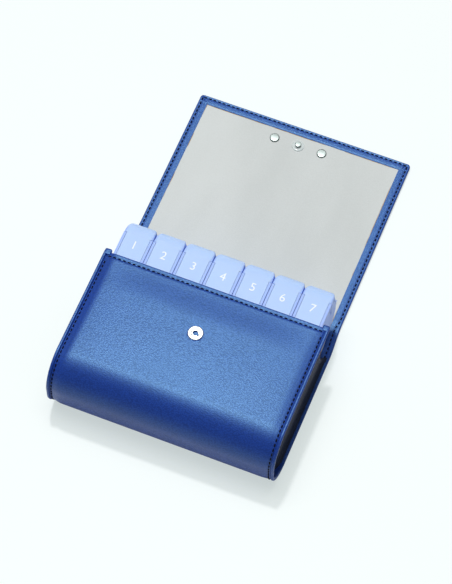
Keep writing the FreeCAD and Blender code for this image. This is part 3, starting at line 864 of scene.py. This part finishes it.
class WALLET_OT_linings(bpy.types.Operator):
    """Grey lining of the pocket, the spine and the flap"""

    bl_idname = "wallet.linings"
    bl_label = "Linings"

    def execute(self, context):
        sizes = context.scene.wallet_sizes
        path = SheetPath(sizes)
        finish = shared_finish(lining_finish)
        pocket = new_object("pocket_lining", path.lining("pocket_lining", 0.0, path.middle), finish)
        cover = path.lining("flap_cover_lining", path.middle, path.end)
        flap = new_object("flap_cover_lining", cover, finish)
        fold_blend(pocket, FOLD_1, "case", "flap_spine", sizes.fold_reach)
        fold_blend(flap, FOLD_2, "flap_spine", "flap_cover", sizes.fold_reach)
        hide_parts("case_lining")
        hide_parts("spine_lining", "flap_lining")
        curl = math.pi * (sizes.case_wall + sizes.lining / 2.0)
        path.middle - sizes.hem - curl
        path.end - BORDER_WIDTH - path.middle
        return {"FINISHED"}


def stitch_mesh(name, starts, ends, ups, sizes):
    """One capsule per stitch: six-sided rings along the way from its start to its end, that swell and sink as
    the thread comes out of one hole and goes into the next."""
    way = np.array([0.0, 0.12, 0.5, 0.88, 1.0])
    swell = np.array([0.45, 0.9, 1.0, 0.9, 0.45]) * sizes.stitch_radius
    lift = np.array([-0.35, 0.05, 0.2, 0.05, -0.35]) * sizes.stitch_radius
    angle = np.linspace(0.0, 2.0 * math.pi, 6, endpoint=False)
    along = ends - starts
    up = ups - along * (np.sum(ups * along, -1) / np.sum(along * along, -1))[:, None]
    up = up / np.linalg.norm(up, axis=-1, keepdims=True)
    beside = np.cross(up, along / np.linalg.norm(along, axis=-1, keepdims=True))
    middle = starts[:, None] + along[:, None] * way[None, :, None] + up[:, None] * lift[None, :, None]
    around = np.cos(angle)[None, :, None] * beside[:, None] + np.sin(angle)[None, :, None] * up[:, None]
    rings = middle[:, :, None] + around[:, None] * swell[None, :, None, None]
    count, steps, sides = rings.shape[:3]
    one = grid_faces(steps, sides, 0, True)
    first = (np.arange(count) * steps * sides)[:, None, None]
    cap = np.arange(sides)
    start_cap = (first[:, 0] + cap[::-1])
    end_cap = (first[:, 0] + (steps - 1) * sides + cap)
    return finished_mesh(name, rings, [(first + one).reshape(-1, 4), start_cap, end_cap])


def stitch_places(start, end, sizes):
    """Starts and ends of the stitches along a seam between two places."""
    count = max(1, int(abs(end - start) / sizes.stitch_pitch))
    middles = start + (end - start) * (np.arange(count) + 0.5) / count
    half = sizes.stitch_length / 2.0
    return middles - half, middles + half


def side_seam(path, start, end, side, outside):
    """Stitches along a side seam between two places along s, on the outer or the inner face. On the outside
    of the back they are pressed into the leatherette."""
    first, last = stitch_places(start, end, path.sizes)
    face = path.outer if outside else path.inner
    rows = [face(side * (path.half_width(s) - path.seam_inset(s)), s) for s in (first, last)]
    middle = (first + last) / 2.0
    y, z, out_y, out_z = path.place(middle)
    up = np.stack([0.0 * out_y, out_y, out_z], -1)
    if not outside:
        return rows[0], rows[1], -up
    pressed = path.sizes.stitch_radius * (1.0 - path.on_case(middle)) * (1.0 - path.on_flap(middle))
    sink = up * pressed[:, None]
    return rows[0] - sink, rows[1] - sink, up


def cross_seam(path, s, inset, outside):
    """Stitches across the sheet at a place along s, on the outer or the inner face."""
    first, last = stitch_places(-path.half_width(s) + inset, path.half_width(s) - inset, path.sizes)
    face = path.outer if outside else path.inner
    rows = [face(x, np.full_like(x, s)) for x in (first, last)]
    y, z, out_y, out_z = path.place(s)
    up = np.tile(np.array([0.0, out_y, out_z]), (len(first), 1))
    return rows[0], rows[1], up if outside else -up


class WALLET_OT_thread(bpy.types.Operator):
    """Seams of the mouth, the rims and the turned edges"""

    bl_idname = "wallet.thread"
    bl_label = "Thread"

    def execute(self, context):
        sizes = context.scene.wallet_sizes
        path = SheetPath(sizes)
        start = sizes.hem_seam + sizes.stitch_pitch
        far = path.end - sizes.flap_seam
        case = [cross_seam(path, sizes.hem_seam, sizes.rim_seam, True)]
        flap = [cross_seam(path, far, sizes.flap_seam, outside) for outside in (True, False)]
        for side in SIDES.values():
            case.append(side_seam(path, start, path.middle, side, True))
            case.append(side_seam(path, path.back, path.middle, side, False))
            flap += [side_seam(path, path.middle, far, side, outside) for outside in (True, False)]
        for name, seams, fold, bodies in (("case_thread", case, FOLD_1, ("case", "flap_spine")),
                                          ("flap_thread", flap, FOLD_2, ("flap_spine", "flap_cover"))):
            starts, ends, ups = (np.concatenate(group) for group in zip(*seams))
            mesh = stitch_mesh(name, starts, ends, ups, sizes)
            piece = new_object(name, mesh, shared_finish(thread_finish))
            fold_blend(piece, fold, *bodies, sizes.fold_reach)
        return {"FINISHED"}


class WALLET_OT_boards(bpy.types.Operator):
    """Card inside the walls"""

    bl_idname = "wallet.boards"
    bl_label = "Card"

    def execute(self, context):
        finish_nodes(("case_stiffener", "spine_board", "flap_board"), shared_finish(card_finish))
        return {"FINISHED"}


def middle_and_radius(node):
    """Middle, half width, foot and top of a turned node."""
    low, high = corners(node)
    return (low[:2] + high[:2]) / 2.0, (high[1] - low[1]) / 2.0, low[2], high[2]


class WALLET_OT_press_stud(bpy.types.Operator):
    """Ring socket, stud, washer, caps and rivets"""

    bl_idname = "wallet.press_stud"
    bl_label = "Press stud"

    def execute(self, context):
        turns = context.scene.wallet_stage.turns
        # The rivets and the stud post get the darker, painted-shade copy of the plate.
        makers = {"stud_washer": washer_finish, "rivet_heads": rivet_finish, "stud_post": rivet_finish}
        finish_nodes(("snap_spring", "snap_prongs"), shared_finish(nickel_finish))
        for node, body, corner_list, places in turned_pieces():
            finish = shared_finish(makers.get(node, nickel_finish))
            slot = "clear_plastic" if node == "stud_washer" else "plated_metal"
            mesh = turned_mesh("turned_" + node, corner_list, places, turns)
            piece = new_object("turned_" + node, mesh, finish, body)
            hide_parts(node)
        return {"FINISHED"}


def turned_pieces():
    """Node, body, profile corners (radius, z, rounding) and places of each turned piece."""
    socket, radius, foot, top = middle_and_radius("snap_socket")
    hole = 0.44 * radius
    lip = 0.12 * radius
    pieces = [("snap_socket", "case", [
        (hole, foot), (radius, foot), (radius, top, 0.8 * MM), (hole + lip, top, 0.35 * MM),
        (hole, top - 0.5 * MM, 0.2 * MM),
    ], [socket])]
    washer, radius, foot, top = middle_and_radius("stud_washer")
    pieces.append(("stud_washer", "flap_cover", [
        (0.9 * MM, foot), (radius, foot), (radius, top, 0.35 * MM), (0.9 * MM, top),
    ], [washer]))
    stud, radius, foot, top = middle_and_radius("stud_post")
    pieces.append(("stud_post", "flap_cover", [
        (0.0, foot), (0.8 * radius, foot, 0.1 * MM), (0.8 * radius, foot + 0.55 * (top - foot), 0.2 * MM),
        (radius, top - 0.4 * MM, 0.15 * MM), (radius, top, 0.35 * MM), (0.0, top),
    ], [stud]))
    cap, radius, low, _ = middle_and_radius("stud_cap")
    pieces.append(("stud_cap", "flap_cover", cap_corners(radius, low), [cap]))
    low, high = corners("rivet_heads")
    radius = (high[1] - low[1]) / 2.0
    places = [(side * (high[0] - radius), (low[1] + high[1]) / 2.0) for side in SIDES.values()]
    pieces.append(("rivet_heads", "flap_cover", [
        (0.0, low[2]), (radius, low[2], 0.2 * MM), (radius, high[2], 0.65 * MM), (0.0, high[2]),
    ], places))
    pieces.append(("rivet_posts", "flap_cover", cap_corners(radius, corners("rivet_posts")[0][2]), places))
    return pieces


def cap_corners(radius, low):
    """Low dome under the flap."""
    foot = FLAP_LIFT + 0.1 * MM
    return [(0.0, foot), (radius, foot), (radius, low + 0.15 * MM, 0.3 * MM),
            (0.55 * radius, low, 0.4 * MM), (0.0, low)]


def grip_mesh(name, low, high, sizes):
    """Hollow finger grip: a path seen from the side (roof, quarter circle, end wall) is carried across the
    box, with a quarter round at both edges and side walls that fan down to the foot of the grip. The side
    walls are scooped in towards the nose and ribbed there. The inner face lies one wall further in."""
    start = high[1] - sizes.grip
    roof = np.linspace(start, high[1] - sizes.nose, 6)[:-1]
    turn = np.linspace(0.0, math.pi / 2.0, 40)
    fall = np.linspace(high[2] - sizes.nose, low[2], 10)[1:]
    path_y = np.concatenate([roof, high[1] - sizes.nose + sizes.nose * np.sin(turn), 0.0 * fall + high[1]])
    path_z = np.concatenate([0.0 * roof + high[2], high[2] - sizes.nose * (1.0 - np.cos(turn)), fall])
    tilt = np.concatenate([0.0 * roof, turn, 0.0 * fall + math.pi / 2.0])
    way = np.concatenate([[0.0], np.cumsum(np.hypot(np.diff(path_y), np.diff(path_z)))])
    foot_y = start + (high[1] - start) * way / way[-1]
    faces = [grip_face(low, high, sizes, inset, path_y, path_z, tilt, foot_y) for inset in (0.0, sizes.wall)]
    return sheet_mesh(name, *faces)


def grip_face(low, high, sizes, inset, path_y, path_z, tilt, foot_y):
    """One face of the grip: rows along the path, columns from the left foot over the roof to the right."""
    middle = (low[0] + high[0]) / 2.0
    edge = sizes.edge
    corner = np.linspace(0.0, math.pi / 2.0, 7)
    fan = np.linspace(0.0, 1.0, 45)[1:]
    within = np.concatenate([np.full(5, edge), edge * (1.0 - np.sin(corner[1:])), 0.0 * fan])
    sunk = np.concatenate([np.zeros(5), edge * (1.0 - np.cos(corner[1:])), 0.0 * fan + edge]) + inset
    share = np.concatenate([np.zeros(5 + len(corner) - 1), fan])
    flat = np.concatenate([np.linspace(0.0, 1.0, 6)[:-1], np.ones(len(within) - 5)])
    y = path_y[:, None] - np.sin(tilt)[:, None] * sunk[None]
    z = path_z[:, None] - np.cos(tilt)[:, None] * sunk[None]
    y = y + (np.minimum(foot_y, high[1] - inset)[:, None] - y) * share[None]
    z = z + (low[2] - z) * share[None]
    scoop = 1.0 - np.sqrt(1.0 - 0.98 * np.clip((y - high[1]) / sizes.grip + 1.0, 0.0, 1.0) ** 2)
    scoop = scoop * (1.0 - smooth_step(0.0, 0.7, share))[None]
    ribs = 0.5 + 0.5 * np.cos(2.0 * math.pi * (y - 0.5 * z) / sizes.rib_pitch)
    ribbed = smooth_step(0.0, 0.1, scoop) * smooth_step(0.0, 0.1, share)[None]
    half = (high[0] - low[0]) / 2.0 - sizes.scoop * scoop - sizes.rib_depth * ribs * ribbed * (inset == 0.0)
    x = (half - inset - within[None]) * flat[None]
    right = np.stack([middle + x, y, z], -1)
    left = np.stack([middle - x, y, z], -1)
    return np.concatenate([left[:, :0:-1], right], 1)


def plate_mesh(name, low, high, sizes):
    """Raised plate with a tongue along both edges: a closed outline carried along the lid."""
    half = (high[0] - low[0]) / 2.0 - sizes.rail
    tongue = half + sizes.groove
    top, step, foot = high[2], high[2] - sizes.tongue, high[2] - 2.0 * sizes.tongue
    soft = 0.2 * sizes.tongue
    side = np.array([(tongue, foot), (tongue, step), (half, step), (half, top - soft), (half - soft, top)])
    outline = np.concatenate([side, side[::-1] * [-1.0, 1.0]])
    rows = np.array([low[1], high[1] - sizes.grip])
    points = np.empty((2, len(outline), 3))
    points[..., 0] = (low[0] + high[0]) / 2.0 + outline[None, :, 0]
    points[..., 1] = rows[:, None]
    points[..., 2] = outline[None, :, 1]
    ring = np.arange(len(outline))
    caps = [ring[None, ::-1], ring[None] + len(outline)]
    return finished_mesh(name, points, [grid_faces(2, len(outline), 0, True), *caps], math.radians(30.0))


class WALLET_OT_day_boxes(bpy.types.Operator):
    """Trays and sliding lids"""

    bl_idname = "wallet.day_boxes"
    bl_label = "Day boxes"

    def execute(self, context):
        colours = context.scene.wallet_colours
        first, second = corners("day_tray_1"), corners("day_tray_2")
        pitch = second[0][0] - first[0][0]
        half = (first[1][0] - first[0][0]) / 2.0
        trays = box_finish("tray_plastic_finish", colours.tray, colours.plastic_edge, pitch, half)
        lids = box_finish("lid_plastic_finish", colours.lid, colours.plastic_edge, pitch, half)
        finish_nodes(["day_tray_%d" % day for day in DAYS], trays)
        sizes = context.scene.box_sizes
        for day in DAYS:
            low, high = corners("day_lid_%d" % day)
            plate = plate_mesh("lid_plate_%d" % day, low, high, sizes)
            grip = grip_mesh("lid_grip_%d" % day, low, high, sizes)
            piece = new_object("lid_plate_%d" % day, plate, lids, "lid_%d" % day)
            new_object("lid_grip_%d" % day, grip, lids, "lid_%d" % day)
            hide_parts("day_lid_%d" % day)
        return {"FINISHED"}


class WALLET_OT_day_numbers(bpy.types.Operator):
    """Printed numbers on the lids"""

    bl_idname = "wallet.day_numbers"
    bl_label = "Day numbers"

    def execute(self, context):
        stage = context.scene.wallet_stage
        path = SheetPath(context.scene.wallet_sizes)
        finish = shared_finish(ink_finish)
        for day in DAYS:
            low, high = corners("day_lid_%d" % day)
            mesh = number_mesh("day_number_%d" % day, str(day), stage.number_height)
            place = ((low[0] + high[0]) / 2.0, path.mouth + stage.number_up, high[2] + 0.01 * MM)
            mesh.transform(Matrix.Translation(place))
            new_object("day_number_%d" % day, mesh, finish, "lid_%d" % day)
        return {"FINISHED"}


def number_mesh(name, words, height):
    """Thin raised print of a number, its middle at the origin and its height as given."""
    curve = bpy.data.curves.new(name + "_outline", "FONT")
    curve.body = words
    curve.extrude = 0.008
    text = bpy.data.objects.new(name + "_outline", curve)
    bpy.context.scene.collection.objects.link(text)
    mesh = bpy.data.meshes.new_from_object(text.evaluated_get(bpy.context.evaluated_depsgraph_get()))
    bpy.data.objects.remove(text)
    points = np.empty(len(mesh.vertices) * 3)
    mesh.vertices.foreach_get("co", points)
    points = points.reshape(-1, 3)
    low, high = points.min(0), points.max(0)
    scale = height / (high[1] - low[1])
    middle = (low + high) / 2.0
    points = (points - [middle[0], middle[1], low[2]]) * [scale, scale, scale * 0.5]
    mesh.vertices.foreach_set("co", points.ravel())
    mesh.name = name
    return mesh


TABLE_HALF = 4.0
TABLE_LEVEL = -0.1 * MM
SOFTBOX_PLACE = (-0.12, 0.10, 1.5)
SOFTBOX_SIZE = 0.9
SOFTBOX_POWER = 10.0
KEY_DIRECTION = (-0.17, 0.30, 0.94)
KEY_STRENGTH = 1.25
KEY_ANGLE = math.radians(4.0)
DOME_LOW = 0.18
DOME_HIGH = 0.50
DOME_TINT = (0.94, 1.0, 1.0, 1.0)


class WALLET_OT_stage(bpy.types.Operator):
    """Table, lamps and camera"""

    bl_idname = "wallet.stage"
    bl_label = "Stage"

    def execute(self, context):
        stage = context.scene.wallet_stage
        mesh = bpy.data.meshes.new("table")
        square = ((-1.0, -1.0), (1.0, -1.0), (1.0, 1.0), (-1.0, 1.0))
        mesh.from_pydata([(TABLE_HALF * x, TABLE_HALF * y, TABLE_LEVEL) for x, y in square], [], [(0, 1, 2, 3)])
        table = new_object("table", mesh, floor_finish(context.scene.wallet_colours))
        context.scene.world = studio_world()
        add_softbox("overhead_softbox", SOFTBOX_PLACE, (0.0, 0.0, 0.0), SOFTBOX_SIZE, SOFTBOX_POWER)
        add_sun("key_lamp", KEY_DIRECTION, KEY_STRENGTH, KEY_ANGLE)
        context.scene.view_settings.view_transform = "Standard"
        add_camera(stage)
        return {"FINISHED"}


def studio_world():
    """Dome that is bright overhead and dim at the horizon; white where the camera looks past the table."""
    world = bpy.data.worlds.new("studio")
    world.use_nodes = True
    tree = world.node_tree
    tree.nodes.clear()
    direction = Wire(tree, tree.nodes.new("ShaderNodeTexCoord").outputs["Generated"])
    camera = direction.node("ShaderNodeLightPath", {}, {}, "Is Camera Ray")
    dome = DOME_LOW + (DOME_HIGH - DOME_LOW) * direction.axis("Z").between(0.75, 0.97)
    strength = camera + (1.0 - camera) * dome
    light = direction.node("ShaderNodeBackground", {}, {"Color": DOME_TINT, "Strength": strength})
    direction.node("ShaderNodeOutputWorld", {}, {"Surface": light})
    return world


def add_sun(name, direction, strength, angle):
    """Far lamp that shines from a direction, with a soft edge to its shadow."""
    lamp = bpy.data.lights.new(name, "SUN")
    lamp.energy = strength
    lamp.angle = angle
    thing = bpy.data.objects.new(name, lamp)
    thing.rotation_euler = (-Vector(direction)).to_track_quat("-Z", "Y").to_euler()
    bpy.context.scene.collection.objects.link(thing)


def add_softbox(name, place, aim, size, power):
    """Square area lamp that points at aim."""
    lamp = bpy.data.lights.new(name, "AREA")
    lamp.shape = "SQUARE"
    lamp.size = size
    lamp.energy = power
    thing = bpy.data.objects.new(name, lamp)
    thing.location = place
    thing.rotation_euler = (Vector(aim) - Vector(place)).to_track_quat("-Z", "Y").to_euler()
    bpy.context.scene.collection.objects.link(thing)


def add_camera(stage):
    """Camera at the photograph's angle, aimed at a point beside and above the pocket's bottom middle."""
    a, e = stage.azimuth, stage.elevation
    back = Vector((math.sin(a) * math.cos(e), -math.cos(a) * math.cos(e), math.sin(e)))
    right = Vector((math.cos(a), math.sin(a), 0.0))
    up = back.cross(right)
    lens = bpy.data.cameras.new("camera")
    lens.lens = stage.lens
    lens.clip_end = 50.0
    camera = bpy.data.objects.new("camera", lens)
    camera.location = (Vector((0.0, BOTTOM_Y, 0.0)) + back * stage.distance
                       + right * stage.aim_right + up * stage.aim_up)
    camera.rotation_euler = (-back).to_track_quat("-Z", "Y").to_euler()
    bpy.context.scene.collection.objects.link(camera)
    bpy.context.scene.camera = camera


OPERATORS = (WALLET_OT_leather, WALLET_OT_gussets, WALLET_OT_linings, WALLET_OT_thread, WALLET_OT_boards,
             WALLET_OT_press_stud, WALLET_OT_day_boxes, WALLET_OT_day_numbers, WALLET_OT_stage)


class WALLET_PT_panel(bpy.types.Panel):
    """Lists the operators and the sizes"""

    bl_idname = "WALLET_PT_panel"
    bl_label = "Pill wallet"
    bl_space_type = "VIEW_3D"
    bl_region_type = "UI"
    bl_category = "Pill wallet"

    def draw(self, context):
        for operator in OPERATORS:
            self.layout.operator(operator.bl_idname)
        for name in GROUPS:
            group = getattr(context.scene, name)
            for key in group.__annotations__:
                self.layout.prop(group, key)


GROUPS = {"wallet_sizes": WalletSizes, "box_sizes": BoxSizes, "wallet_colours": WalletColours,
          "wallet_stage": WalletStage}
CLASSES = (*GROUPS.values(), *OPERATORS, WALLET_PT_panel)


def register():
    """Adds the classes and the scene's settings."""
    for item in CLASSES:
        bpy.utils.register_class(item)
    for key, group in GROUPS.items():
        setattr(bpy.types.Scene, key, PointerProperty(type=group))


def unregister():
    """Takes them away again."""
    for key in GROUPS:
        delattr(bpy.types.Scene, key)
    for item in reversed(CLASSES):
        bpy.utils.unregister_class(item)


def main():
    """Builds every piece and the stage."""
    register()
    bpy.ops.wallet.leather()
    bpy.ops.wallet.gussets()
    bpy.ops.wallet.linings()
    bpy.ops.wallet.thread()
    bpy.ops.wallet.boards()
    bpy.ops.wallet.press_stud()
    bpy.ops.wallet.day_boxes()
    bpy.ops.wallet.day_numbers()
    bpy.ops.wallet.stage()


if __name__ == "__main__":
    main()
